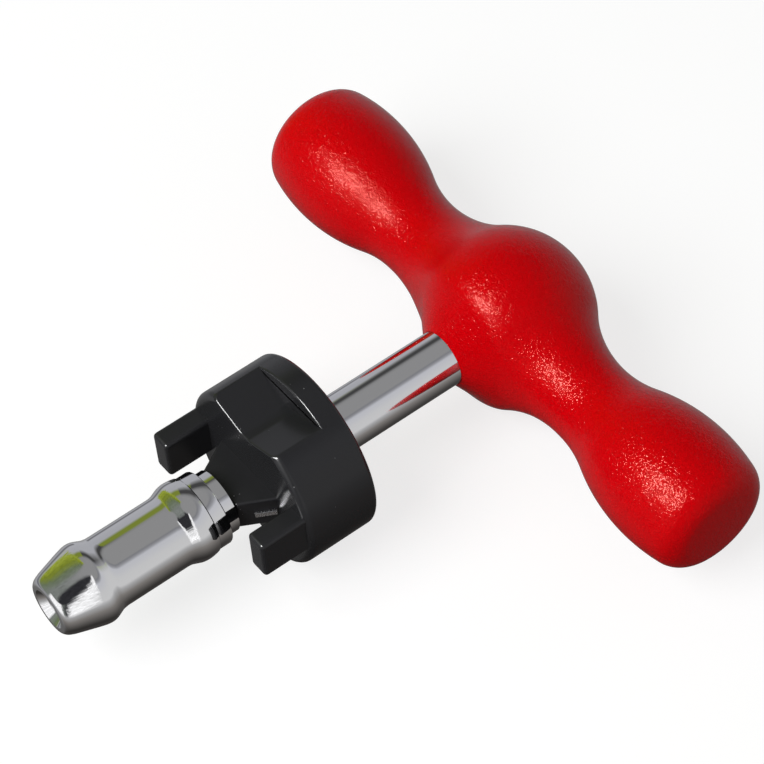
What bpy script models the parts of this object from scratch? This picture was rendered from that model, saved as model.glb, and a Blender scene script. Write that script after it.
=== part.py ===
"""Pipe calibrating tool: a red T-grip on a round steel shaft, a black bevelling head and a
chromed sizing mandrel. The shaft lies along Y with the mandrel at -Y, the grip lies along X.

Lengths are in metres. A station is a distance from the grip's axis towards the mandrel's tip.
"""

from math import atan2, cos, hypot, pi, radians, sin, sqrt, tan

import bmesh
import bpy
from mathutils import Matrix, Vector

MM = 0.001
GAP = 0.3 * MM                      # between pieces that touch on the real tool

# Place of the two axes: the drum is the lowest point, and the part is centred along Y
AXIS_HEIGHT = 16.05 * MM
GRIP_Y = 38.1 * MM

# Grip: tangent arcs turned about its own axis
GRIP_BALL_R = 15.6 * MM
GRIP_NECK_R = 7.6 * MM
GRIP_NECK_AT = 22.5 * MM
GRIP_BULB_R = 11.6 * MM
GRIP_BULB_CURVE = 34.1 * MM
GRIP_CORNER_CURVE = 4.7 * MM
GRIP_END_CURVE = 73.7 * MM
GRIP_HALF = 54.4 * MM
DRAWN_FROM = 9.0 * MM               # past here the ball is drawn in towards the shaft
DRAWN_SOFT = 0.6 * MM
DRAWN_SHARE = 0.65
LIP_REACH = 5.7 * MM                # and rises again into a low lip round it
LIP_RISE = 2.1 * MM
LIP_POWER = 3.5

# Shaft: Ø10 bar, two flats and a thin stud in front
SHAFT_R = 5.0 * MM
SHAFT_REAR_AT = -8.0 * MM           # end inside the grip, past its axis
FLATS_FROM = 44.5 * MM
SHOULDER_AT = 50.0 * MM
FLATS_HALF = 4.0 * MM
SHAFT_CHAMFER = 0.5 * MM
STUD_R = 2.0 * MM
STUD_TIP_AT = 72.0 * MM
PIN_R = 1.5 * MM
PIN_HALF = 10.0 * MM

# Mandrel
MANDREL_REAR_AT = 59.0 * MM
TIP_AT = 92.0 * MM
PLAIN_R = 6.25 * MM

# Head
HEAD_ROLL = radians(-3.4)           # it sits a little round from the grip's plane
DRUM_R = AXIS_HEIGHT
DRUM_REAR_AT = 39.15 * MM
DRUM_FRONT_AT = 52.75 * MM
DRUM_FRONT_EDGE = 1.2 * MM
DRUM_REAR_EDGE = 0.8 * MM
VALLEY_REAR_AT = 43.5 * MM
VALLEY_FLOOR = 11.2 * MM
VALLEY_FLAT = 1.6 * MM              # half width of the rounded bottom
VALLEY_REACH = 12.0 * MM            # half width at its top, past the drum's skin
VALLEY_SLOPE = radians(20)
FINGER_IN = 11.15 * MM
FINGER_OUT = 15.1 * MM
FINGER_LOW = -3.35 * MM
FINGER_HIGH = 4.5 * MM
FINGER_TIP_AT = 61.1 * MM
FINGER_ROOT = 3.0 * MM              # sunk in the drum
FINGER_EDGE = 0.6 * MM
HUB_FRONT_AT = MANDREL_REAR_AT - GAP
HUB_FRONT_HALF = 4.5 * MM
HUB_FLANK = radians(29.4)
HUB_HALF = 3.0 * MM
HUB_ROOT = 2.0 * MM                 # sunk in the drum
HUB_EDGE = 0.4 * MM
BLADE_THICK = 1.0 * MM
BLADE_FROM = 53.05 * MM
BLADE_TO = 56.2 * MM
BLADE_DEPTH = 1.5 * MM              # held in the hub
BLADE_STAND = 0.45 * MM             # standing out of it

COLLECTION = "pipe_calibrating_tool"
ROUND_STEPS = 48
PIN_STEPS = 24


def clear_scene():
    for thing in list(bpy.data.objects):
        bpy.data.objects.remove(thing, do_unlink=True)


def collection(name):
    group = bpy.data.collections.get(name) or bpy.data.collections.new(name)
    if group.name not in bpy.context.scene.collection.children:
        bpy.context.scene.collection.children.link(group)
    return group


def material(name, colour, roughness, metallic):
    finish = bpy.data.materials.new(name)
    finish.use_nodes = True
    shader = finish.node_tree.nodes["Principled BSDF"]
    shader.inputs["Base Color"].default_value = (*colour, 1.0)
    shader.inputs["Roughness"].default_value = roughness
    shader.inputs["Metallic"].default_value = metallic
    return finish


def red_plastic():
    return material("red_plastic", (0.52, 0.003, 0.006), 0.25, 0.0)


def chrome(name):
    return material(name, (0.62, 0.62, 0.64), 0.12, 1.0)


def black_plastic():
    return material("black_plastic", (0.022, 0.022, 0.024), 0.45, 0.0)


def bare_steel(name):
    return material(name, (0.55, 0.55, 0.56), 0.3, 1.0)


def new_object(name, mesh, finish=None, cutter=False):
    thing = bpy.data.objects.new(name, mesh)
    if cutter:
        thing.hide_render = True
        thing.display_type = "WIRE"
        collection("cutters").objects.link(thing)
    else:
        mesh.materials.append(finish)
        collection(COLLECTION).objects.link(thing)
    return thing


def along_shaft(roll=0.0):
    """Local +Z to the mandrel's tip, local +X to the grip's right end, turned by roll."""
    return (Matrix.Translation((0.0, GRIP_Y, AXIS_HEIGHT))
            @ Matrix.Rotation(roll, 4, "Y") @ Matrix.Rotation(radians(90), 4, "X"))


def along_grip():
    """Local +Z to the grip's right end, local +Y to the mandrel."""
    return (Matrix.Translation((0.0, GRIP_Y, AXIS_HEIGHT))
            @ Matrix.Rotation(pi, 4, "X") @ Matrix.Rotation(pi / 2, 4, "Y"))


def arc(centre, radius, start, end, steps):
    """Points of the shorter arc between the directions of two points seen from its centre."""
    first = atan2(start[1] - centre[1], start[0] - centre[0])
    last = atan2(end[1] - centre[1], end[0] - centre[0])
    if last - first > pi:
        last -= 2 * pi
    if first - last > pi:
        last += 2 * pi
    angles = [first + (last - first) * k / steps for k in range(steps + 1)]
    return [(centre[0] + radius * cos(a), centre[1] + radius * sin(a)) for a in angles]


def turned(name, profile, finish=None, cutter=False, steps=ROUND_STEPS):
    """Turn a profile of (station, radius) points, given from the far station to the near one."""
    mesh = bpy.data.meshes.new(name)
    points = [(radius, 0.0, station) for station, radius in profile]
    mesh.from_pydata(points, [(k, k + 1) for k in range(len(points) - 1)], [])
    thing = new_object(name, mesh, finish, cutter)
    screw = thing.modifiers.new("turn", "SCREW")
    screw.axis = "Z"
    screw.steps = steps
    screw.render_steps = steps
    screw.use_merge_vertices = True
    screw.merge_threshold = 0.00001
    return thing


def prism(name, outline, low, high, plane, finish=None, cutter=False):
    """Extrude a closed outline: plane 'side' lies in local XZ, plane 'end' in local XY."""
    work = bmesh.new()
    if plane == "side":
        ring = [work.verts.new((x, -high, s)) for x, s in outline]
        step = (0.0, high - low, 0.0)
    else:
        ring = [work.verts.new((x, y, low)) for x, y in outline]
        step = (0.0, 0.0, high - low)
    face = work.faces.new(ring)
    new = bmesh.ops.extrude_face_region(work, geom=[face])["geom"]
    moved = [item for item in new if isinstance(item, bmesh.types.BMVert)]
    bmesh.ops.translate(work, verts=moved, vec=step)
    bmesh.ops.recalc_face_normals(work, faces=work.faces)
    mesh = bpy.data.meshes.new(name)
    work.to_mesh(mesh)
    work.free()
    return new_object(name, mesh, finish, cutter)


def box(name, low, high, finish=None, cutter=False):
    outline = [(low[0], low[1]), (high[0], low[1]), (high[0], high[1]), (low[0], high[1])]
    return prism(name, outline, low[2], high[2], "end", finish, cutter)


def bevel(thing, width, segments=2):
    edge = thing.modifiers.new("bevel", "BEVEL")
    edge.width = width
    edge.segments = segments
    edge.limit_method = "ANGLE"
    edge.angle_limit = radians(40)


def combine(thing, other, operation):
    step = thing.modifiers.new(operation.lower(), "BOOLEAN")
    step.operation = operation
    step.object = other
    step.solver = "EXACT"


def smooth(thing, angle=35):
    thing.data.shade_smooth()
    thing.data.set_sharp_from_angle(angle=radians(angle))


def grip_profile():
    """Half profile from the grip's end to its middle: end, corner, bulb, neck and ball."""
    neck_curve = ((GRIP_NECK_AT**2 + GRIP_NECK_R**2 - GRIP_BALL_R**2)
                  / (2 * (GRIP_BALL_R - GRIP_NECK_R)))
    neck = (GRIP_NECK_AT, GRIP_NECK_R + neck_curve)
    reach = neck_curve + GRIP_BULB_CURVE
    rise = reach - (GRIP_BULB_R - GRIP_NECK_R)
    bulb = (GRIP_NECK_AT + sqrt(reach**2 - rise**2), GRIP_BULB_R - GRIP_BULB_CURVE)
    end = (GRIP_HALF - GRIP_END_CURVE, 0.0)

    # the corner touches the bulb's curve and the end's curve from inside
    to_bulb = GRIP_BULB_CURVE - GRIP_CORNER_CURVE
    to_end = GRIP_END_CURVE - GRIP_CORNER_CURVE
    apart = Vector(end) - Vector(bulb)
    along = (to_bulb**2 - to_end**2 + apart.length**2) / (2 * apart.length)
    across = sqrt(to_bulb**2 - along**2)
    unit = apart.normalized()
    side = Vector((-unit.y, unit.x))
    choices = [Vector(bulb) + unit * along + side * across * sign for sign in (1, -1)]
    corner = max(choices, key=lambda point: point.x + point.y)

    def towards(centre, point, radius):
        length = hypot(point[0] - centre[0], point[1] - centre[1])
        return (centre[0] + (point[0] - centre[0]) * radius / length,
                centre[1] + (point[1] - centre[1]) * radius / length)

    ball_to_neck = towards((0, 0), neck, GRIP_BALL_R)
    neck_to_bulb = towards(neck, bulb, neck_curve)
    bulb_to_corner = towards(bulb, corner, GRIP_BULB_CURVE)
    corner_to_end = towards(end, corner, GRIP_END_CURVE)
    points = arc(end, GRIP_END_CURVE, (GRIP_HALF, 0.0), corner_to_end, 3)
    points += arc(corner, GRIP_CORNER_CURVE, corner_to_end, bulb_to_corner, 5)[1:]
    points += arc(bulb, GRIP_BULB_CURVE, bulb_to_corner, neck_to_bulb, 8)[1:]
    points += arc(neck, neck_curve, neck_to_bulb, ball_to_neck, 8)[1:]
    points += arc((0, 0), GRIP_BALL_R, ball_to_neck, (0.0, GRIP_BALL_R), 7)[1:]
    return [(station, max(radius, 0.0)) for station, radius in points]


def drawn_in(along, station):
    """Station of a point of the turned grip once the ball's front is drawn in to the shaft."""
    past = station - DRAWN_FROM
    past = (sqrt(past**2 + DRAWN_SOFT**2) + past) / 2
    shift = LIP_RISE * (past / LIP_REACH) ** LIP_POWER - DRAWN_SHARE * past
    fade = min(max((GRIP_NECK_AT - abs(along)) / (GRIP_NECK_AT - GRIP_BALL_R), 0.0), 1.0)
    return station + shift * fade


def turned_grip():
    """The grip's profile spun about local Z, with local Y towards the mandrel."""
    half = grip_profile()
    profile = half + [(-station, radius) for station, radius in reversed(half[:-1])]
    work = bmesh.new()
    points = [work.verts.new((0.0, radius, station)) for station, radius in profile]
    edges = [work.edges.new(pair) for pair in zip(points, points[1:])]
    bmesh.ops.spin(work, geom=points + edges, cent=(0, 0, 0), axis=(0, 0, 1), angle=2 * pi,
                   steps=ROUND_STEPS)
    bmesh.ops.remove_doubles(work, verts=work.verts, dist=0.01 * MM)
    for point in work.verts:
        point.co.y = drawn_in(point.co.z, point.co.y)
    bmesh.ops.recalc_face_normals(work, faces=work.faces)
    mesh = bpy.data.meshes.new("grip")
    work.to_mesh(mesh)
    work.free()
    return new_object("grip", mesh, red_plastic())


def make_grip():
    grip = turned_grip()
    grip.matrix_world = along_grip()
    socket = turned("grip_socket", [(GRIP_BALL_R + 2 * MM, 0.0), (GRIP_BALL_R + 2 * MM, SHAFT_R + GAP),
                                    (SHAFT_REAR_AT - GAP, SHAFT_R + GAP), (SHAFT_REAR_AT - GAP, 0.0)],
                    cutter=True)
    socket.matrix_world = along_shaft()
    combine(grip, socket, "DIFFERENCE")
    hole = pin_rod("grip_pin_hole", PIN_R + GAP, PIN_HALF + GAP, cutter=True)
    combine(grip, hole, "DIFFERENCE")
    smooth(grip)


def pin_rod(name, radius, half, finish=None, cutter=False):
    profile = [(half, 0.0), (half, radius), (-half, radius), (-half, 0.0)]
    rod = turned(name, profile, finish, cutter, PIN_STEPS)
    rod.matrix_world = Matrix.Translation((0.0, GRIP_Y, AXIS_HEIGHT))
    return rod


def make_grip_pin():
    smooth(pin_rod("grip_pin", PIN_R, PIN_HALF, bare_steel("pin_steel")))


def make_shaft():
    edge = SHAFT_CHAMFER
    profile = [(STUD_TIP_AT, 0.0), (STUD_TIP_AT, STUD_R - edge), (STUD_TIP_AT - edge, STUD_R),
               (SHOULDER_AT, STUD_R), (SHOULDER_AT, SHAFT_R - edge), (SHOULDER_AT - edge, SHAFT_R),
               (SHAFT_REAR_AT + edge, SHAFT_R), (SHAFT_REAR_AT, SHAFT_R - edge),
               (SHAFT_REAR_AT, 0.0)]
    shaft = turned("shaft", profile, chrome("shaft_chrome"))
    shaft.matrix_world = along_shaft(HEAD_ROLL)
    for side in (1, -1):
        low, high = sorted((side * FLATS_HALF, side * 2 * SHAFT_R))
        flat = box(f"shaft_flat_{side}", (-2 * SHAFT_R, low, FLATS_FROM),
                   (2 * SHAFT_R, high, SHOULDER_AT + 1 * MM), cutter=True)
        flat.matrix_world = along_shaft(HEAD_ROLL)
        combine(shaft, flat, "DIFFERENCE")
    combine(shaft, pin_rod("shaft_pin_hole", PIN_R + GAP, 2 * SHAFT_R, cutter=True), "DIFFERENCE")
    smooth(shaft)


def mandrel_profile():
    """Outside of the mandrel, from the bottom of its centre hole round to its bore."""
    bore_r = STUD_R + GAP
    bore_end = STUD_TIP_AT + GAP
    centre_hole = [(TIP_AT - 3.4 * MM, 0.0), (TIP_AT - 3.4 * MM, 0.8 * MM), (TIP_AT - 1.6 * MM, 0.8 * MM),
                   (TIP_AT - 1.3 * MM, 2.3 * MM), (TIP_AT - 0.2 * MM, 3.3 * MM), (TIP_AT, 3.5 * MM)]
    tip = [(TIP_AT, 4.3 * MM), (TIP_AT - 0.15 * MM, 4.6 * MM), (TIP_AT - 0.7 * MM, 5.2 * MM),
           (TIP_AT - 1.8 * MM, 5.62 * MM)]
    front_ridge = [(86.3 * MM, 6.72 * MM), (85.6 * MM, 6.95 * MM), (84.9 * MM, 7.1 * MM),
                   (84.2 * MM, 7.15 * MM), (83.5 * MM, 7.05 * MM), (82.7 * MM, 6.75 * MM),
                   (81.9 * MM, 6.42 * MM), (81.1 * MM, 6.28 * MM), (80.4 * MM, PLAIN_R)]
    rear_ridge = [(69.2 * MM, PLAIN_R), (68.4 * MM, 6.34 * MM), (67.5 * MM, 6.66 * MM),
                  (66.7 * MM, 6.95 * MM), (65.9 * MM, 7.08 * MM), (65.1 * MM, 7.08 * MM),
                  (64.3 * MM, 6.98 * MM), (63.7 * MM, 6.85 * MM), (63.5 * MM, 6.65 * MM)]
    neck = [(61.3 * MM, 6.65 * MM), (61.0 * MM, 6.35 * MM), (61.0 * MM, 5.6 * MM),
            (MANDREL_REAR_AT, 5.6 * MM)]
    bore = [(MANDREL_REAR_AT, bore_r), (bore_end, bore_r), (bore_end, 0.0)]
    return centre_hole + tip + front_ridge + rear_ridge + neck + bore


def make_mandrel():
    mandrel = turned("mandrel", mandrel_profile(), chrome("mandrel_chrome"))
    mandrel.matrix_world = along_shaft()
    smooth(mandrel)


def drum_profile():
    edge = DRUM_FRONT_EDGE
    front = arc((DRUM_FRONT_AT - edge, DRUM_R - edge), edge, (DRUM_FRONT_AT, DRUM_R - edge),
                (DRUM_FRONT_AT - edge, DRUM_R), 3)
    edge = DRUM_REAR_EDGE
    rear = arc((DRUM_REAR_AT + edge, DRUM_R - edge), edge, (DRUM_REAR_AT + edge, DRUM_R),
               (DRUM_REAR_AT, DRUM_R - edge), 3)
    return [(DRUM_FRONT_AT, 0.0)] + front + rear + [(DRUM_REAR_AT, 0.0)]


def valley_outline(side):
    """Shallow V with a rounded bottom, wider than the drum at its top."""
    reach = VALLEY_REACH
    flat = VALLEY_FLAT
    rise = (reach - flat) * tan(VALLEY_SLOPE)
    soft = 0.35 * flat * tan(VALLEY_SLOPE)
    points = [(-reach, VALLEY_FLOOR + rise), (-flat, VALLEY_FLOOR + soft), (-0.5 * flat, VALLEY_FLOOR),
              (0.5 * flat, VALLEY_FLOOR), (flat, VALLEY_FLOOR + soft), (reach, VALLEY_FLOOR + rise),
              (reach, 2 * DRUM_R), (-reach, 2 * DRUM_R)]
    return [(x, side * y) for x, y in points]


def flank_half(station):
    """Half width of the hub at a station."""
    return HUB_FRONT_HALF + (HUB_FRONT_AT - station) * tan(HUB_FLANK)


def hub_outline():
    root = DRUM_FRONT_AT - HUB_ROOT
    return [(-HUB_FRONT_HALF, HUB_FRONT_AT), (HUB_FRONT_HALF, HUB_FRONT_AT),
            (flank_half(root), root), (-flank_half(root), root)]


def blade_outline(side, clearance):
    """Strip along one flank of the hub, standing out of it; grown by clearance for its slot."""
    tilt = Vector((sin(HUB_FLANK), -cos(HUB_FLANK)))
    out = Vector((cos(HUB_FLANK), sin(HUB_FLANK)))
    front = Vector((flank_half(BLADE_TO), BLADE_TO)) - tilt * clearance
    rear = Vector((flank_half(BLADE_FROM), BLADE_FROM)) + tilt * clearance
    outside = out * (BLADE_STAND if clearance == 0.0 else 3 * BLADE_STAND)
    inside = out * -(BLADE_DEPTH + clearance)
    corners = [front + inside, front + outside, rear + outside, rear + inside]
    return [(side * corner.x, corner.y) for corner in corners]


def make_head():
    head = turned("head_body", drum_profile(), black_plastic())
    place = along_shaft(HEAD_ROLL)
    head.matrix_world = place
    hub = prism("hub", hub_outline(), -HUB_HALF, HUB_HALF, "side", cutter=True)
    bevel(hub, HUB_EDGE)
    combine(head, hub, "UNION")
    parts = [hub]
    for side in (1, -1):
        low, high = sorted((side * FINGER_IN, side * FINGER_OUT))
        finger = box(f"finger_{side}", (low, FINGER_LOW, DRUM_FRONT_AT - FINGER_ROOT),
                     (high, FINGER_HIGH, FINGER_TIP_AT), cutter=True)
        bevel(finger, FINGER_EDGE)
        combine(head, finger, "UNION")
        valley = prism(f"valley_{side}", valley_outline(side), VALLEY_REAR_AT, FINGER_TIP_AT, "end",
                       cutter=True)
        combine(head, valley, "DIFFERENCE")
        slot = prism(f"blade_slot_{side}", blade_outline(side, GAP), -BLADE_THICK / 2 - GAP,
                     BLADE_THICK / 2 + GAP, "side", cutter=True)
        combine(head, slot, "DIFFERENCE")
        parts += [finger, valley, slot]
    bore = turned("stud_bore", [(FINGER_TIP_AT, 0.0), (FINGER_TIP_AT, STUD_R + GAP),
                                (SHOULDER_AT, STUD_R + GAP), (SHOULDER_AT, 0.0)], cutter=True)
    seat = turned("shaft_bore", [(SHOULDER_AT + GAP, 0.0), (SHOULDER_AT + GAP, SHAFT_R + GAP),
                                 (DRUM_REAR_AT - 1 * MM, SHAFT_R + GAP), (DRUM_REAR_AT - 1 * MM, 0.0)],
                  cutter=True)
    for side in (1, -1):
        low, high = sorted((side * (FLATS_HALF + GAP), side * 2 * SHAFT_R))
        key = box(f"bore_flat_{side}", (-2 * SHAFT_R, low, FLATS_FROM + GAP),
                  (2 * SHAFT_R, high, SHOULDER_AT + 1 * MM), cutter=True)
        combine(seat, key, "DIFFERENCE")
        parts.append(key)
    combine(head, bore, "DIFFERENCE")
    combine(head, seat, "DIFFERENCE")
    for piece in parts + [bore, seat]:
        piece.matrix_world = place
    smooth(head)


def make_blade(name, side):
    blade = prism(name, blade_outline(side, 0.0), -BLADE_THICK / 2, BLADE_THICK / 2, "side",
                  bare_steel(f"{name}_steel"))
    blade.matrix_world = along_shaft(HEAD_ROLL)


clear_scene()
make_grip()
make_grip_pin()
make_shaft()
make_head()
make_blade("blade_right", 1)
make_blade("blade_left", -1)
make_mandrel()
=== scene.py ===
"""A hand tool that rounds and bevels the end of plastic pipe: red T-grip, chromed shaft, black
bevelling head with two fingers, two small blades, and a chromed sizing mandrel.

Lengths are in metres. A station is a distance from the grip's axis towards the mandrel's tip.
"""

from math import atan2, cos, hypot, pi, radians, sin, sqrt, tan

import bmesh
import bpy
from mathutils import Matrix, Vector


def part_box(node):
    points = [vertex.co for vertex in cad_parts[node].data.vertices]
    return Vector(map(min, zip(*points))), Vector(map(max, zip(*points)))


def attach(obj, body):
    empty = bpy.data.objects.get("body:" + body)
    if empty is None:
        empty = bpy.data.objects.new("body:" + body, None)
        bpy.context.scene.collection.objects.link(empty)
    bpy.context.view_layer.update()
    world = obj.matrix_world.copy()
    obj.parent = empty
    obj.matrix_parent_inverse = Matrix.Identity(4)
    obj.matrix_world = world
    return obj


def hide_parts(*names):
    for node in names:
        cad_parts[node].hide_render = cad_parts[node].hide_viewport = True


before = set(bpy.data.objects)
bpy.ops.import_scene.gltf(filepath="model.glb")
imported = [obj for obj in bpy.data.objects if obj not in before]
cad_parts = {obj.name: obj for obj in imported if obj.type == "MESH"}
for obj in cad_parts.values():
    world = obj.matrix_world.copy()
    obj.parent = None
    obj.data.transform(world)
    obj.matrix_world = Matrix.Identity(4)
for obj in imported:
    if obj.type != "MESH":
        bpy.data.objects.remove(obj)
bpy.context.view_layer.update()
bpy.ops.object.select_all(action="DESELECT")


# ---------------------------------------------------------------- Camera
# A long lens looks down on the tool from its right front corner, turned a little on its own axis.
# It is placed from the point where the shaft's axis crosses the grip's, in the grip's ball.
MM = 0.001
grip_low, grip_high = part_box("grip")
BALL_R = (grip_high.z - grip_low.z) / 2
CROSSING = Vector((0.0, grip_high.y - BALL_R, (grip_high.z + grip_low.z) / 2))
CAMERA_AZIMUTH = radians(54.09)
CAMERA_ELEVATION = radians(53.30)
CAMERA_ROLL = radians(-2.315)
CAMERA_DISTANCE = 494.2 * MM
CAMERA_ASIDE = -20.54 * MM
CAMERA_UP = -10.69 * MM
LENS_LENGTH = 139.2
SENSOR_WIDTH = 36.0
NEAREST_SEEN = 10 * MM
FARTHEST_SEEN = 20.0

back = Vector((sin(CAMERA_AZIMUTH) * cos(CAMERA_ELEVATION),
               -cos(CAMERA_AZIMUTH) * cos(CAMERA_ELEVATION),
               sin(CAMERA_ELEVATION)))
level = Vector((cos(CAMERA_AZIMUTH), sin(CAMERA_AZIMUTH), 0.0))
upright = back.cross(level)
across = level * cos(CAMERA_ROLL) + upright * sin(CAMERA_ROLL)
upward = upright * cos(CAMERA_ROLL) - level * sin(CAMERA_ROLL)
stand = CROSSING + back * CAMERA_DISTANCE + across * CAMERA_ASIDE + upward * CAMERA_UP
bpy.ops.object.camera_add()
camera = bpy.context.object
camera.data.lens = LENS_LENGTH
camera.data.sensor_width = SENSOR_WIDTH
camera.data.clip_start = NEAREST_SEEN
camera.data.clip_end = FARTHEST_SEEN
turned = Matrix((across, upward, back)).transposed().to_4x4()
camera.matrix_world = Matrix.Translation(stand) @ turned
bpy.context.scene.camera = camera


# ---------------------------------------------------------------- Studio
# A white table in a tent: pale wall on the left, grey roof, a bright wall on the right and a dark
# slot between the left wall and the roof. In front of the mandrel the tent is open to a hedge,
# then to stone, then to the dark with one bright edge. The chrome shows all of it as bands.
TABLE_SIZE = 6.0
TABLE_GREY = (0.3, 0.3, 0.3)
TABLE_GLOW = 0.76
TABLE_ROUGHNESS = 0.9
PLAIN = (1.0, 1.0, 1.0)
WHITE = (*PLAIN, 1.0)
COOL = (0.97, 0.98, 1.04)
WARM = (1.06, 0.99, 0.93)
OLIVE = (0.82, 1.0, 0.16)
SUNLIT = (0.42, 0.50, 0.06, 1.0)
LEAF = (0.27, 0.33, 0.035, 1.0)
HEDGE = (0.20, 0.25, 0.15, 1.0)
STONE = (0.28, 0.30, 0.28, 1.0)
DARK = (0.04, 0.04, 0.045, 1.0)
SHINE = (1.4, 1.4, 1.4, 1.0)
SUNLIT_CLEAR = (*SUNLIT[:3], 0.0)
SHINE_CLEAR = (*SHINE[:3], 0.0)
WALLS_MEET = 0.25
LEAFY_FROM, LEAFY_TO = radians(-114), radians(-111)
STEP_LOW, STEP_HIGH = sin(radians(32)), sin(radians(37))
RUFFLE_SCALE = 14.0
RUFFLE_REACH = 0.35
LEAVES_SCALE = 70.0
LEAVES_FROM, LEAVES_TO = 0.35, 0.65
LEAVES_DIM, LEAVES_BRIGHT = 0.5, 1.5
TENT_ON_MATT = 0.52


def fed(tree, node, sockets):
    """Fill a node's sockets, each with a number, a colour or the output of another node."""
    for socket, value in sockets.items():
        if isinstance(value, bpy.types.NodeSocket):
            tree.links.new(value, node.inputs[socket])
        else:
            node.inputs[socket].default_value = value
    return node


def finish(name, colour, roughness, metallic, specular=0.5):
    """Plain coat of one finish, before its pattern; returns the material, its tree and its shader."""
    coat = bpy.data.materials.new(name)
    coat.use_nodes = True
    shader = coat.node_tree.nodes["Principled BSDF"]
    fed(coat.node_tree, shader, {"Base Color": (*colour, 1.0), "Roughness": roughness,
                                 "Metallic": metallic, "Specular IOR Level": specular})
    return coat, coat.node_tree, shader


def dress(piece, coat):
    """Give a piece one material and nothing else."""
    piece.data.materials.clear()
    piece.data.materials.append(coat)


def noise(tree, place, scale, detail=2.0, distortion=0.0):
    """Cloudy pattern from 0 to 1; a larger scale gives smaller lumps."""
    return fed(tree, tree.nodes.new("ShaderNodeTexNoise"), {
        "Vector": place, "Scale": scale, "Detail": detail, "Distortion": distortion}).outputs["Fac"]


def spread(tree, value, low, high, at_low=0.0, at_high=1.0):
    """Stretch a value between two marks over a range, and hold it at the range's ends."""
    return fed(tree, tree.nodes.new("ShaderNodeMapRange"), {
        "Value": value, "From Min": low, "From Max": high,
        "To Min": at_low, "To Max": at_high}).outputs["Result"]


def ramp_of(tree, value, stops):
    """Colour along a value; stops are (value from 0 to 1, colour and cover)."""
    ramp = fed(tree, tree.nodes.new("ShaderNodeValToRGB"), {"Fac": value})
    while len(ramp.color_ramp.elements) < len(stops):
        ramp.color_ramp.elements.new(0.5)
    for element, (position, colour) in zip(ramp.color_ramp.elements, stops):
        element.position = position
        element.color = colour
    return ramp


def blended(tree, factor, low, high):
    """Mix of two colours by a factor."""
    mix = tree.nodes.new("ShaderNodeMix")
    mix.data_type = "RGBA"
    return fed(tree, mix, {"Factor": factor, "A": low, "B": high}).outputs["Result"]


def sums(tree, operation, first, second):
    """One sum of two values, each a socket or a number."""
    step = tree.nodes.new("ShaderNodeMath")
    step.operation = operation
    return fed(tree, step, {0: first, 1: second}).outputs[0]


bpy.ops.mesh.primitive_plane_add(size=TABLE_SIZE)
table_top = bpy.context.object
table_top.name = "table_top"
table_top.visible_glossy = False
table_top.visible_diffuse = False
table_white, tree, shader = finish("table_white", TABLE_GREY, TABLE_ROUGHNESS, 0.0, specular=0.0)
fed(tree, shader, {"Emission Color": WHITE, "Emission Strength": TABLE_GLOW})
dress(table_top, table_white)

tent = bpy.data.worlds.new("tent")
bpy.context.scene.world = tent
tent.use_nodes = True
cloth = tent.node_tree
direction = cloth.nodes.new("ShaderNodeTexCoord").outputs["Generated"]
split = fed(cloth, cloth.nodes.new("ShaderNodeSeparateXYZ"), {"Vector": direction})
to_right, to_rear, to_top = (split.outputs[axis] for axis in "XYZ")


def by_height(stops):
    """Cloth's colour by height; stops are (degrees above the horizon, brightness, tint)."""
    marks = [((sin(radians(lift)) + 1) / 2, (*(brightness * part for part in tint), 1.0))
             for lift, brightness, tint in stops]
    return ramp_of(cloth, spread(cloth, to_top, -1.0, 1.0), marks).outputs["Color"]


def by_turn(turning, stops):
    """Colour and cover round the tent; stops are (degrees to the right of the tip, colour)."""
    marks = [((radians(degrees_right) + pi) / (2 * pi), colour) for degrees_right, colour in stops]
    return ramp_of(cloth, spread(cloth, turning, -pi, pi), marks)


slot_dark = by_height([
    (-70, 0.06, WARM), (-40, 0.35, PLAIN), (-20, 0.58, COOL), (20, 0.58, COOL), (31, 0.22, PLAIN),
    (36, 0.08, PLAIN), (44, 0.08, PLAIN), (53, 0.34, PLAIN), (58, 0.38, PLAIN), (90, 0.38, PLAIN)])
slot_leafy = by_height([
    (-70, 0.06, WARM), (-40, 0.35, PLAIN), (-24, 0.50, COOL), (-17, 0.20, COOL), (-13, 0.22, COOL),
    (-7, 0.60, COOL), (25, 0.56, COOL), (34, 0.32, OLIVE), (46, 0.32, OLIVE), (53, 0.36, PLAIN),
    (90, 0.38, PLAIN)])
right_wall = by_height([
    (-72, 0.04, WARM), (-46, 0.16, WARM), (-30, 0.28, WARM), (-12, 0.55, PLAIN), (-2, 0.84, PLAIN),
    (20, 0.82, PLAIN), (45, 0.76, COOL), (51, 0.46, COOL), (57, 0.30, COOL), (61, 0.38, PLAIN),
    (90, 0.38, PLAIN)])
turn_round = sums(cloth, "ARCTAN2", to_right, sums(cloth, "MULTIPLY", to_rear, -1.0))
left_wall = blended(cloth, spread(cloth, turn_round, LEAFY_FROM, LEAFY_TO), slot_dark, slot_leafy)
walls = blended(cloth, spread(cloth, to_right, -WALLS_MEET, WALLS_MEET), left_wall, right_wall)

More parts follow.
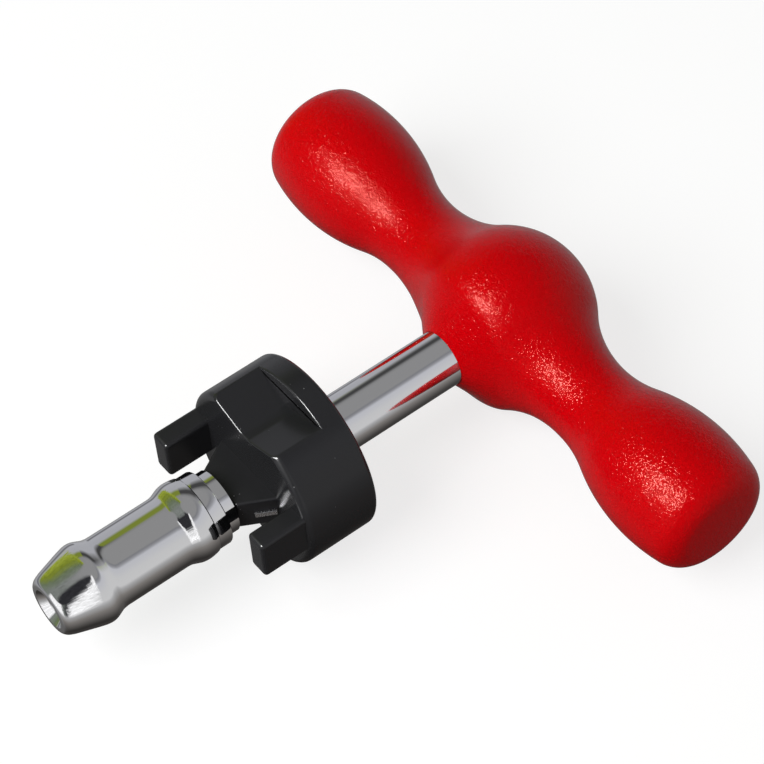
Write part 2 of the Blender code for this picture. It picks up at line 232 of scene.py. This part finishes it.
# The open front has a ruffled edge, and its upper and lower halves differ in where the stone ends
ruffle = sums(cloth, "SUBTRACT", noise(cloth, direction, RUFFLE_SCALE, detail=4.0), 0.5)
ruffled_turn = sums(cloth, "ADD", turn_round, sums(cloth, "MULTIPLY", ruffle, RUFFLE_REACH))
opening_high = by_turn(ruffled_turn, [
    (-91, SUNLIT_CLEAR), (-86, SUNLIT), (-77, LEAF), (-62, HEDGE), (-30, STONE), (14, STONE),
    (30, DARK), (60, DARK), (66, SHINE), (73, SHINE), (80, SHINE_CLEAR)])
opening_low = by_turn(ruffled_turn, [
    (-91, SUNLIT_CLEAR), (-86, SUNLIT), (-77, LEAF), (-55, HEDGE), (-24, STONE), (-14, SHINE),
    (34, SHINE), (42, STONE), (56, DARK), (66, SHINE), (80, SHINE_CLEAR)])
opening = blended(cloth, spread(cloth, to_top, STEP_LOW, STEP_HIGH),
                  opening_low.outputs["Color"], opening_high.outputs["Color"])
opening_height = by_height([(-12, 0.0, PLAIN), (0, 1.0, PLAIN), (68, 1.0, PLAIN), (74, 0.0, PLAIN)])
opening_share = sums(cloth, "MULTIPLY", opening_high.outputs["Alpha"], opening_height)
leaves = noise(cloth, direction, LEAVES_SCALE, detail=3.0)
leaf_light = spread(cloth, leaves, LEAVES_FROM, LEAVES_TO, LEAVES_DIM, LEAVES_BRIGHT)
mottled = cloth.nodes.new("ShaderNodeVectorMath")
mottled.operation = "SCALE"
fed(cloth, mottled, {0: opening, "Scale": leaf_light})
tent_colour = blended(cloth, opening_share, walls, mottled.outputs[0])

# Straight views see plain white, and matt surfaces get less of the tent's light than glossy ones
seen = cloth.nodes.new("ShaderNodeLightPath").outputs
in_full = sums(cloth, "MAXIMUM", seen["Is Glossy Ray"], seen["Is Camera Ray"])
fed(cloth, cloth.nodes["Background"], {
    "Color": blended(cloth, seen["Is Camera Ray"], tent_colour, WHITE),
    "Strength": spread(cloth, in_full, 0.0, 1.0, TENT_ON_MATT, 1.0)})


def softbox(name, azimuth, elevation, distance, width, height, watts):
    """Soft light that points at the tool; azimuth 0 is in front of the mandrel's tip."""
    turn, lift = radians(azimuth), radians(elevation)
    towards = Vector((sin(turn) * cos(lift), -cos(turn) * cos(lift), sin(lift)))
    bpy.ops.object.light_add(type="AREA", location=CROSSING + towards * distance)
    lamp = bpy.context.object
    lamp.name = name
    lamp.data.shape = "RECTANGLE"
    lamp.data.size = width
    lamp.data.size_y = height
    lamp.data.energy = watts
    lamp.rotation_mode = "QUATERNION"
    lamp.rotation_quaternion = towards.to_track_quat("Z", "Y")
    return lamp


key_light = softbox("key_light", azimuth=-4, elevation=45, distance=0.9,
                    width=0.6, height=0.6, watts=7.2)
key_light.visible_glossy = False
gloss_light = softbox("gloss_light", azimuth=-6, elevation=45, distance=0.9,
                      width=0.42, height=0.32, watts=36.0)
gloss_light.visible_diffuse = False

bpy.context.scene.view_settings.view_transform = "Standard"


# ---------------------------------------------------------------- Shaft
# Drawn steel bar, 10 mm, polished and chromed. Its rear end is pinned in the grip, and in front it
# has two flats and steps down to a thin stud that carries the head and the mandrel.
SHAFT_R = 5.0 * MM
SHAFT_REAR_AT = CROSSING.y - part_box("shaft")[1].y
STUD_TIP_AT = CROSSING.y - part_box("shaft")[0].y
SHOULDER_AT = 50.0 * MM
FLATS_FROM = 44.5 * MM
FLATS_HALF = 4.0 * MM
STUD_R = 2.0 * MM
SHAFT_CHAMFER = 0.5 * MM
HEAD_ROLL = radians(-3.4)
OVERCUT = 1.0 * MM
MERGE_UNDER = 0.001 * MM
SHAFT_CHROME = (0.64, 0.64, 0.655)
PIT_BROWN = (0.16, 0.14, 0.13, 1.0)
PITS_SCALE = 420.0
PIT_CORE, PIT_RIM = 0.06, 0.13
WORN_SCALE = 90.0
WORN_FROM, WORN_TO = 0.55, 0.62
DRAW_LINES_SCALE = 2600.0
ALONG_THE_BAR = (1.0, 0.04, 1.0)
BAR_SMOOTHEST, BAR_ROUGHEST = 0.03, 0.10


def on_shaft(station, radius):
    """Point of a turned piece's profile, straight above the shaft's axis."""
    return CROSSING + Vector((0.0, -station, radius))


def on_head(x, station, z):
    """Point beside the shaft's axis, before the head's roll."""
    return CROSSING + Vector((x, -station, z))


def rolled(piece):
    """Turn a finished piece round the shaft to where the head sits."""
    home = Matrix.Translation(CROSSING)
    piece.data.transform(home @ Matrix.Rotation(HEAD_ROLL, 4, "Y") @ home.inverted())
    return piece


def drawn(name, points):
    """Line through points, drawn by extruding one vertex from each point to the next."""
    bpy.ops.mesh.primitive_plane_add(size=MM, location=points[0])
    piece = bpy.context.object
    piece.name = name
    piece.data.name = name
    bpy.ops.object.mode_set(mode="EDIT")
    bpy.ops.mesh.select_mode(type="VERT")
    bpy.ops.mesh.select_all(action="SELECT")
    bpy.ops.mesh.merge(type="CENTER")
    for start, end in zip(points, points[1:]):
        bpy.ops.mesh.extrude_vertices_move(TRANSFORM_OT_translate={"value": end - start})
    bpy.ops.mesh.select_all(action="SELECT")
    return piece


def closed_up(piece):
    """Merge seams and poles, turn the faces outwards and put the place in the mesh."""
    bpy.ops.mesh.select_all(action="SELECT")
    bpy.ops.mesh.remove_doubles(threshold=MERGE_UNDER)
    bpy.ops.mesh.normals_make_consistent(inside=False)
    bpy.ops.object.mode_set(mode="OBJECT")
    bpy.ops.object.transform_apply(location=True, rotation=True, scale=True)
    return piece


def spun(name, points, axis, steps=128):
    """Spin a line that starts and ends on an axis through the crossing into a closed skin."""
    piece = drawn(name, points)
    bpy.ops.mesh.spin(steps=steps, angle=2 * pi, center=CROSSING, axis=axis)
    closed_up(piece)
    bpy.ops.object.shade_smooth_by_angle(angle=radians(30))
    return piece


def prism(name, corners, step):
    """Fill an outline and pull it out by a step into a solid."""
    piece = drawn(name, corners)
    bpy.ops.mesh.edge_face_add()
    bpy.ops.mesh.extrude_region_move(TRANSFORM_OT_translate={"value": step})
    return closed_up(piece)


def only(piece):
    """Select one piece and nothing else."""
    bpy.ops.object.select_all(action="DESELECT")
    bpy.context.view_layer.objects.active = piece
    piece.select_set(True)


def combine(piece, tool, operation):
    """Join a tool to a piece or cut it out of it, and throw the tool away."""
    step = piece.modifiers.new(operation.lower(), "BOOLEAN")
    step.operation = operation
    step.object = tool
    step.solver = "EXACT"
    only(piece)
    bpy.ops.object.modifier_apply(modifier=step.name)
    bpy.data.objects.remove(tool, do_unlink=True)


def on_piece(tree):
    """Place on the piece itself, for a pattern that stays with it."""
    return tree.nodes.new("ShaderNodeTexCoord").outputs["Object"]


def stretched(tree, scale):
    """Place on the piece, which draws a pattern out along each axis that has a small scale."""
    return fed(tree, tree.nodes.new("ShaderNodeMapping"), {
        "Vector": on_piece(tree), "Scale": scale}).outputs["Vector"]


def cells(tree, scale):
    """Distance from the nearest of many scattered points, for pits and chips."""
    return fed(tree, tree.nodes.new("ShaderNodeTexVoronoi"), {
        "Vector": on_piece(tree), "Scale": scale}).outputs["Distance"]


shaft_line = [(SHAFT_REAR_AT, 0.0), (SHAFT_REAR_AT, SHAFT_R - SHAFT_CHAMFER),
              (SHAFT_REAR_AT + SHAFT_CHAMFER, SHAFT_R), (SHOULDER_AT - SHAFT_CHAMFER, SHAFT_R),
              (SHOULDER_AT, SHAFT_R - SHAFT_CHAMFER), (SHOULDER_AT, STUD_R),
              (STUD_TIP_AT - SHAFT_CHAMFER, STUD_R), (STUD_TIP_AT, STUD_R - SHAFT_CHAMFER),
              (STUD_TIP_AT, 0.0)]
shaft_bar = spun("shaft_bar", [on_shaft(*point) for point in shaft_line], (0, 1, 0))
clear_of_bar = 2 * SHAFT_R
for facing in (1, -1):
    corners = [on_head(x, station, facing * FLATS_HALF) for x, station in
               ((-clear_of_bar, FLATS_FROM), (clear_of_bar, FLATS_FROM),
                (clear_of_bar, SHOULDER_AT + OVERCUT), (-clear_of_bar, SHOULDER_AT + OVERCUT))]
    flat_tool = prism("flat_tool", corners, (0, 0, facing * (clear_of_bar - FLATS_HALF)))
    combine(shaft_bar, flat_tool, "DIFFERENCE")
rolled(shaft_bar)
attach(shaft_bar, "root")
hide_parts("shaft")

# Fine lines along the bar in the polish, and small brown pits where the chrome has worn
shaft_chrome, tree, shader = finish("shaft_chrome", SHAFT_CHROME, 0.06, 1.0)
draw_lines = noise(tree, stretched(tree, ALONG_THE_BAR), DRAW_LINES_SCALE, detail=3.0)
pits = ramp_of(tree, cells(tree, PITS_SCALE),
               [(PIT_CORE, PIT_BROWN), (PIT_RIM, (*SHAFT_CHROME, 1.0))])
worn = spread(tree, noise(tree, on_piece(tree), WORN_SCALE), WORN_FROM, WORN_TO)
fed(tree, shader, {
    "Roughness": spread(tree, draw_lines, 0.0, 1.0, BAR_SMOOTHEST, BAR_ROUGHEST),
    "Base Color": blended(tree, worn, (*SHAFT_CHROME, 1.0), pits.outputs["Color"])})
dress(shaft_bar, shaft_chrome)


# ---------------------------------------------------------------- Grip
# One moulded T of glossy red plastic: a ball round the shaft, two necks and two bulbs with a
# slightly domed end. The mould's skin is finely rippled, which breaks its highlights up.
NECK_R = 7.6 * MM
NECK_AT = 22.5 * MM
BULB_R = 11.6 * MM
BULB_CURVE = 34.1 * MM
CORNER_CURVE = 4.7 * MM
END_CURVE = 73.7 * MM
GRIP_HALF = grip_high.x
DRAWN_FROM = 9.0 * MM
DRAWN_SOFT = 2.0 * MM
DRAWN_SHARE = 0.65
LIP_REACH = 5.7 * MM
LIP_RISE = 2.1 * MM
LIP_POWER = 3.5
FIT = 0.05 * MM
RED = (0.60, 0.0002, 0.0025)
RED_SHINE = (1.0, 0.36, 0.3, 1.0)
RIPPLE_SCALE = 1700.0
RIPPLE_TWIST = 1.2
RIPPLE_DEPTH = 0.14 * MM


def arc(centre, radius, start, end, steps):
    """Points of the shorter arc between the directions of two points seen from its centre."""
    first = atan2(start[1] - centre[1], start[0] - centre[0])
    last = atan2(end[1] - centre[1], end[0] - centre[0])
    if last - first > pi:
        last -= 2 * pi
    if first - last > pi:
        last += 2 * pi
    angles = [first + (last - first) * k / steps for k in range(steps + 1)]
    return [(centre[0] + radius * cos(a), centre[1] + radius * sin(a)) for a in angles]


def away(centre, point, radius):
    """Point on a circle in the direction of another point."""
    length = hypot(point[0] - centre[0], point[1] - centre[1])
    return (centre[0] + (point[0] - centre[0]) * radius / length,
            centre[1] + (point[1] - centre[1]) * radius / length)


def grip_line():
    """Half of the grip's outline, from the middle of its end to the top of its ball."""
    neck_curve = (NECK_AT**2 + NECK_R**2 - BALL_R**2) / (2 * (BALL_R - NECK_R))
    neck = (NECK_AT, NECK_R + neck_curve)
    reach = neck_curve + BULB_CURVE
    rise = reach - (BULB_R - NECK_R)
    bulb = Vector((NECK_AT + sqrt(reach**2 - rise**2), BULB_R - BULB_CURVE))
    end = Vector((GRIP_HALF - END_CURVE, 0.0))
    to_bulb = BULB_CURVE - CORNER_CURVE
    to_end = END_CURVE - CORNER_CURVE
    apart = end - bulb
    along = (to_bulb**2 - to_end**2 + apart.length**2) / (2 * apart.length)
    unit = apart.normalized()
    sideways = Vector((-unit.y, unit.x)) * sqrt(to_bulb**2 - along**2)
    corner = max([bulb + unit * along + sideways, bulb + unit * along - sideways],
                 key=lambda point: point.x + point.y)
    ball_to_neck = away((0, 0), neck, BALL_R)
    neck_to_bulb = away(neck, bulb, neck_curve)
    bulb_to_corner = away(bulb, corner, BULB_CURVE)
    corner_to_end = away(end, corner, END_CURVE)
    points = arc(end, END_CURVE, (GRIP_HALF, 0.0), corner_to_end, steps=10)
    points += arc(corner, CORNER_CURVE, corner_to_end, bulb_to_corner, steps=12)[1:]
    points += arc(bulb, BULB_CURVE, bulb_to_corner, neck_to_bulb, steps=24)[1:]
    points += arc(neck, neck_curve, neck_to_bulb, ball_to_neck, steps=22)[1:]
    points += arc((0, 0), BALL_R, ball_to_neck, (0.0, BALL_R), steps=18)[1:]
    return [(along_grip, max(radius, 0.0)) for along_grip, radius in points]


def drawn_in(point):
    """Move a point of the ball's front to where it runs out thin round the shaft."""
    station = CROSSING.y - point.y
    past = station - DRAWN_FROM
    past = (sqrt(past**2 + DRAWN_SOFT**2) + past) / 2
    shift = LIP_RISE * (past / LIP_REACH) ** LIP_POWER - DRAWN_SHARE * past
    fade = min(max((NECK_AT - abs(point.x)) / (NECK_AT - BALL_R), 0.0), 1.0)
    point.y -= shift * fade


def bumped(tree, pattern, strength, distance):
    """Fine relief of a skin from a pattern."""
    return fed(tree, tree.nodes.new("ShaderNodeBump"), {
        "Height": pattern, "Strength": strength, "Distance": distance}).outputs["Normal"]


half_line = grip_line()
whole_line = half_line + [(-along_grip, radius) for along_grip, radius in reversed(half_line[:-1])]
red_grip = spun("red_grip", [CROSSING + Vector((x, 0.0, radius)) for x, radius in whole_line],
                (1, 0, 0), steps=144)
for corner in red_grip.data.vertices:
    drawn_in(corner.co)
socket_line = [(SHAFT_REAR_AT - FIT, 0.0), (SHAFT_REAR_AT - FIT, SHAFT_R + FIT),
               (2 * BALL_R, SHAFT_R + FIT), (2 * BALL_R, 0.0)]
socket_tool = spun("socket_tool", [on_shaft(*point) for point in socket_line], (0, 1, 0))
combine(red_grip, socket_tool, "DIFFERENCE")
bpy.ops.object.shade_smooth_by_angle(angle=radians(40))
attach(red_grip, "root")
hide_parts("grip")

red_plastic, tree, shader = finish("red_plastic", RED, 0.11, 0.0, specular=0.12)
ripple = noise(tree, on_piece(tree), RIPPLE_SCALE, distortion=RIPPLE_TWIST)
fed(tree, shader, {"Specular Tint": RED_SHINE,
                   "Normal": bumped(tree, ripple, 1.0, RIPPLE_DEPTH)})
dress(red_grip, red_plastic)

# The gloss light reaches only the plastic pieces
lit_by_gloss = bpy.data.collections.new("lit_by_gloss")
lit_by_gloss.objects.link(red_grip)
gloss_light.light_linking.receiver_collection = lit_by_gloss


# ---------------------------------------------------------------- Grip pin
# Plain steel pin driven across the grip and the shaft. It lies inside the ball, so it stays as
# it is in the frame and only gets its metal.
PIN_STEEL = (0.55, 0.55, 0.56)
PIN_GRINDING_SCALE = 4000.0
PIN_SMOOTHEST, PIN_ROUGHEST = 0.22, 0.4
pin_steel, tree, shader = finish("pin_steel", PIN_STEEL, 0.3, 1.0)
grinding = noise(tree, on_piece(tree), PIN_GRINDING_SCALE)
fed(tree, shader, {
    "Roughness": spread(tree, grinding, 0.0, 1.0, PIN_SMOOTHEST, PIN_ROUGHEST)})
dress(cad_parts["grip_pin"], pin_steel)


# ---------------------------------------------------------------- Head
# Moulded black plastic: a drum with a shallow valley above and below, two fingers in front that
# run round the outside of the pipe, and a flat wedge-shaped hub that carries the blades.
HEAD_LOW, HEAD_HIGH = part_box("head_body")
DRUM_R = CROSSING.z
DRUM_REAR_AT = CROSSING.y - HEAD_HIGH.y
DRUM_FRONT_AT = 52.75 * MM
DRUM_FRONT_EDGE = 1.2 * MM
DRUM_REAR_EDGE = 0.8 * MM
VALLEY_REAR_AT = 43.5 * MM
VALLEY_FLOOR = 11.2 * MM
VALLEY_FLAT = 1.6 * MM
VALLEY_REACH = 12.0 * MM
VALLEY_SLOPE = radians(20)
VALLEY_DIP = 0.35 * VALLEY_FLAT
RIM_EDGE = 0.35 * MM
RIM_TURNS_BY = radians(22)
FINGER_IN = 11.15 * MM
FINGER_OUT = 15.1 * MM
FINGER_LOW = -3.35 * MM
FINGER_HIGH = 4.5 * MM
FINGER_ROOT = 3.0 * MM
FINGER_TIP_AT = CROSSING.y - HEAD_LOW.y
FINGER_EDGE = 0.7 * MM
HUB_FRONT_AT = 58.7 * MM
HUB_FRONT_HALF = 4.5 * MM
HUB_FLANK = radians(29.4)
HUB_HALF = 3.0 * MM
HUB_ROOT_AT = DRUM_FRONT_AT - 2.0 * MM
HUB_EDGE = 0.4 * MM
BLADE_THICK = 1.0 * MM
BLADE_FROM = 53.05 * MM
BLADE_TO = 56.2 * MM
BLADE_DEPTH = 1.5 * MM
BLADE_STAND = 0.45 * MM
SLOT_PAST_BLADE = 4
EDGE_TURNS_BY = radians(30)
BLACK = (0.017, 0.017, 0.019)
CHIP_GREY = (0.16, 0.16, 0.165, 1.0)
CHIPS_SCALE = 1100.0
CHIP_LARGEST = 0.22
CHIP_PATCH_SCALE = 160.0
PATCH_FROM, PATCH_TO = 0.58, 0.75
GRAIN_SCALE = 5200.0
GRAIN_STRENGTH = 0.25
GRAIN_DEPTH = 0.01 * MM


def rounded(piece, width, segments=4):
    """Round every sharp edge of a solid."""
    edge = piece.modifiers.new("edge", "BEVEL")
    edge.width = width
    edge.segments = segments
    edge.limit_method = "ANGLE"
    edge.angle_limit = EDGE_TURNS_BY
    only(piece)
    bpy.ops.object.modifier_apply(modifier=edge.name)
    return piece


def block(name, low, high):
    """Box between two (x, station, z) corners."""
    corners = [on_head(x, station, low[2]) for x, station in
               ((low[0], low[1]), (high[0], low[1]), (high[0], high[1]), (low[0], high[1]))]
    return prism(name, corners, (0, 0, high[2] - low[2]))


def flank_half(station):
    """Half width of the hub at a station."""
    return HUB_FRONT_HALF + (HUB_FRONT_AT - station) * tan(HUB_FLANK)


def blade_corners(hand, grow):
    """Outline of a blade along one flank of the hub; grown a little for its slot."""
    tilt = Vector((sin(HUB_FLANK), -cos(HUB_FLANK)))
    out = Vector((cos(HUB_FLANK), sin(HUB_FLANK)))
    front = Vector((flank_half(BLADE_TO), BLADE_TO)) - tilt * grow
    rear = Vector((flank_half(BLADE_FROM), BLADE_FROM)) + tilt * grow
    outside = out * (BLADE_STAND + SLOT_PAST_BLADE * grow)
    inside = out * -(BLADE_DEPTH + grow)
    underside = -BLADE_THICK / 2 - grow
    return [on_head(hand * spot.x, spot.y, underside)
            for spot in (front + inside, front + outside, rear + outside, rear + inside)]


drum_line = [(DRUM_FRONT_AT, 0.0)]
drum_line += arc((DRUM_FRONT_AT - DRUM_FRONT_EDGE, DRUM_R - DRUM_FRONT_EDGE), DRUM_FRONT_EDGE,
                 (DRUM_FRONT_AT, DRUM_R - DRUM_FRONT_EDGE),
                 (DRUM_FRONT_AT - DRUM_FRONT_EDGE, DRUM_R), steps=6)
drum_line += arc((DRUM_REAR_AT + DRUM_REAR_EDGE, DRUM_R - DRUM_REAR_EDGE), DRUM_REAR_EDGE,
                 (DRUM_REAR_AT + DRUM_REAR_EDGE, DRUM_R),
                 (DRUM_REAR_AT, DRUM_R - DRUM_REAR_EDGE), steps=5)
drum_line += [(DRUM_REAR_AT, 0.0)]
black_head = spun("black_head", [on_shaft(*point) for point in drum_line], (0, 1, 0), steps=120)

climb = (VALLEY_REACH - VALLEY_FLAT) * tan(VALLEY_SLOPE)
dip = VALLEY_DIP * tan(VALLEY_SLOPE)
valley_outline = [(-VALLEY_REACH, VALLEY_FLOOR + climb), (-VALLEY_FLAT, VALLEY_FLOOR + dip),
                  (-VALLEY_FLAT / 2, VALLEY_FLOOR), (VALLEY_FLAT / 2, VALLEY_FLOOR),
                  (VALLEY_FLAT, VALLEY_FLOOR + dip), (VALLEY_REACH, VALLEY_FLOOR + climb),
                  (VALLEY_REACH, 2 * DRUM_R), (-VALLEY_REACH, 2 * DRUM_R)]
for facing in (1, -1):
    corners = [on_head(x, VALLEY_REAR_AT, facing * z) for x, z in valley_outline]
    valley_tool = prism("valley_tool", corners, (0, VALLEY_REAR_AT - FINGER_TIP_AT, 0))
    combine(black_head, valley_tool, "DIFFERENCE")

# The valleys' rims are rounded while nothing else is on the drum
bpy.ops.object.mode_set(mode="EDIT")
work = bmesh.from_edit_mesh(black_head.data)
bpy.ops.mesh.select_mode(type="EDGE")
bpy.ops.mesh.select_all(action="DESELECT")
for edge in work.edges:
    middle = (edge.verts[0].co + edge.verts[1].co) / 2 - CROSSING
    in_valley = abs(middle.z) > VALLEY_FLOOR - RIM_EDGE and -middle.y > VALLEY_REAR_AT - RIM_EDGE
    if len(edge.link_faces) == 2 and edge.is_convex and in_valley:
        edge.select_set(edge.calc_face_angle() > RIM_TURNS_BY)
bpy.ops.mesh.bevel(offset=RIM_EDGE, segments=3, affect="EDGES")
bpy.ops.object.mode_set(mode="OBJECT")

hub_corners = [on_head(x, station, -HUB_HALF) for x, station in
               ((-HUB_FRONT_HALF, HUB_FRONT_AT), (HUB_FRONT_HALF, HUB_FRONT_AT),
                (flank_half(HUB_ROOT_AT), HUB_ROOT_AT), (-flank_half(HUB_ROOT_AT), HUB_ROOT_AT))]
hub_block = rounded(prism("hub_block", hub_corners, (0, 0, 2 * HUB_HALF)), HUB_EDGE)
combine(black_head, hub_block, "UNION")
for hand in (1, -1):
    low_x, high_x = sorted((hand * FINGER_IN, hand * FINGER_OUT))
    finger = block("finger_block", (low_x, DRUM_FRONT_AT - FINGER_ROOT, FINGER_LOW),
                   (high_x, FINGER_TIP_AT, FINGER_HIGH))
    combine(black_head, rounded(finger, FINGER_EDGE), "UNION")

bore_line = [(DRUM_REAR_AT - OVERCUT, 0.0), (DRUM_REAR_AT - OVERCUT, SHAFT_R + FIT),
             (SHOULDER_AT + FIT, SHAFT_R + FIT), (SHOULDER_AT + FIT, STUD_R + FIT),
             (FINGER_TIP_AT, STUD_R + FIT), (FINGER_TIP_AT, 0.0)]
bore_tool = spun("bore_tool", [on_shaft(*point) for point in bore_line], (0, 1, 0))
combine(black_head, bore_tool, "DIFFERENCE")
for hand in (1, -1):
    slot_tool = prism("slot_tool", blade_corners(hand, FIT), (0, 0, BLADE_THICK + 2 * FIT))
    combine(black_head, slot_tool, "DIFFERENCE")
rolled(black_head)
only(black_head)
bpy.ops.object.shade_smooth_by_angle(angle=radians(32))
flats = black_head.modifiers.new("flats", "WEIGHTED_NORMAL")
flats.keep_sharp = True
bpy.ops.object.modifier_apply(modifier=flats.name)
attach(black_head, "root")
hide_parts("head_body")

# A fine grain, and pale specks of dust and chips that come in patches
black_plastic, tree, shader = finish("black_plastic", BLACK, 0.24, 0.0, specular=0.25)
grain = noise(tree, on_piece(tree), GRAIN_SCALE, detail=3.0)
patches = noise(tree, on_piece(tree), CHIP_PATCH_SCALE)
chip_size = spread(tree, patches, PATCH_FROM, PATCH_TO, 0.0, CHIP_LARGEST)
chipped = sums(tree, "LESS_THAN", cells(tree, CHIPS_SCALE), chip_size)
fed(tree, shader, {"Base Color": blended(tree, chipped, (*BLACK, 1.0), CHIP_GREY),
                   "Normal": bumped(tree, grain, GRAIN_STRENGTH, GRAIN_DEPTH)})
dress(black_head, black_plastic)
lit_by_gloss.objects.link(black_head)


# ---------------------------------------------------------------- Blades
# Two strips of ground tool steel, pushed into slots in the hub's flanks. A corner stands out of
# the plastic in front of the drum and takes the bevel off the inside of the pipe.
BLADE_EDGE = 0.08 * MM
BLADE_STEEL = (0.6, 0.6, 0.62)
BLADE_GRINDING_SCALE = 6000.0
BLADE_SMOOTHEST, BLADE_ROUGHEST = 0.15, 0.35
blade_steel, tree, shader = finish("blade_steel", BLADE_STEEL, 0.25, 1.0)
grinding = noise(tree, on_piece(tree), BLADE_GRINDING_SCALE)
fed(tree, shader, {
    "Roughness": spread(tree, grinding, 0.0, 1.0, BLADE_SMOOTHEST, BLADE_ROUGHEST)})

for hand, name in ((1, "right"), (-1, "left")):
    blade = prism(f"{name}_blade", blade_corners(hand, 0.0), (0, 0, BLADE_THICK))
    rolled(rounded(blade, BLADE_EDGE, segments=2))
    dress(blade, blade_steel)
    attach(blade, "root")
    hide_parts(f"blade_{name}")


# ---------------------------------------------------------------- Mandrel
# Turned steel, chromed over the tool marks. A neck, a band and a rounded ridge at the rear, a plain
# middle, a second ridge, then a cone down to a flat rim with a shallow centre hole.
MANDREL_REAR_AT = CROSSING.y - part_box("mandrel")[1].y
TIP_AT = CROSSING.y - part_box("mandrel")[0].y
BORE_END_AT = STUD_TIP_AT + 0.3 * MM
REAR_NECK_R = 5.6 * MM
MANDREL_CHROME = (0.64, 0.64, 0.65)
TOOL_MARKS_SCALE = 5000.0
TOOL_MARKS_STRENGTH = 0.12
TOOL_MARKS_DEPTH = 0.006 * MM
ROUND_THE_MANDREL = (0.05, 1.0, 0.05)


def eased(points, steps):
    """Smooth curve through a few (station, radius) points, by Catmull and Rom's rule."""
    ends = [points[0]] + points + [points[-1]]
    line = []
    for k in range(1, len(ends) - 2):
        before, start, end, after = (Vector(p) for p in ends[k - 1:k + 3])
        for n in range(steps):
            t = n / steps
            spot = 0.5 * (2 * start + (end - before) * t
                          + (2 * before - 5 * start + 4 * end - after) * t**2
                          + (3 * start - before - 3 * end + after) * t**3)
            line.append((spot.x, spot.y))
    return line + [points[-1]]


def turned_to(points):
    """Profile points from (station, radius) in millimetres."""
    return [(station * MM, radius * MM) for station, radius in points]


def behind_tip(points):
    """Profile points from (distance behind the tip, radius) in millimetres."""
    return [(TIP_AT - distance * MM, radius * MM) for distance, radius in points]


centre_hole = behind_tip([(3.4, 0.0), (3.4, 0.8), (1.5, 0.8), (1.3, 1.0), (1.2, 2.6), (0.2, 3.35),
                          (0.0, 3.5)])
rim = eased(behind_tip([(0.0, 4.2), (0.12, 4.6), (0.7, 5.15), (1.8, 5.62)]), steps=3)
front_ridge = eased(turned_to([(86.6, 6.68), (85.6, 6.95), (84.9, 7.1), (84.2, 7.15), (83.5, 7.05),
                               (82.7, 6.75), (81.9, 6.42), (81.1, 6.28), (80.4, 6.25)]), steps=4)
rear_ridge = eased(turned_to([(69.2, 6.25), (68.4, 6.34), (67.5, 6.66), (66.7, 6.95), (65.9, 7.08),
                              (65.1, 7.08), (64.3, 6.98), (63.7, 6.85)]), steps=4)
rear_band = turned_to([(63.5, 6.65), (61.3, 6.65), (61.1, 6.57), (61.0, 6.35)])
rear_neck = [(rear_band[-1][0], REAR_NECK_R), (MANDREL_REAR_AT, REAR_NECK_R)]
bore = [(MANDREL_REAR_AT, STUD_R + FIT), (BORE_END_AT, STUD_R + FIT), (BORE_END_AT, 0.0)]
mandrel_line = centre_hole + rim + front_ridge + rear_ridge + rear_band + rear_neck + bore
turned_mandrel = spun("turned_mandrel", [on_shaft(*point) for point in mandrel_line], (0, 1, 0),
                      steps=160)
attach(turned_mandrel, "root")
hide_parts("mandrel")

mandrel_chrome, tree, shader = finish("mandrel_chrome", MANDREL_CHROME, 0.05, 1.0)
tool_marks = noise(tree, stretched(tree, ROUND_THE_MANDREL), TOOL_MARKS_SCALE)
fed(tree, shader, {
    "Normal": bumped(tree, tool_marks, TOOL_MARKS_STRENGTH, TOOL_MARKS_DEPTH)})
dress(turned_mandrel, mandrel_chrome)
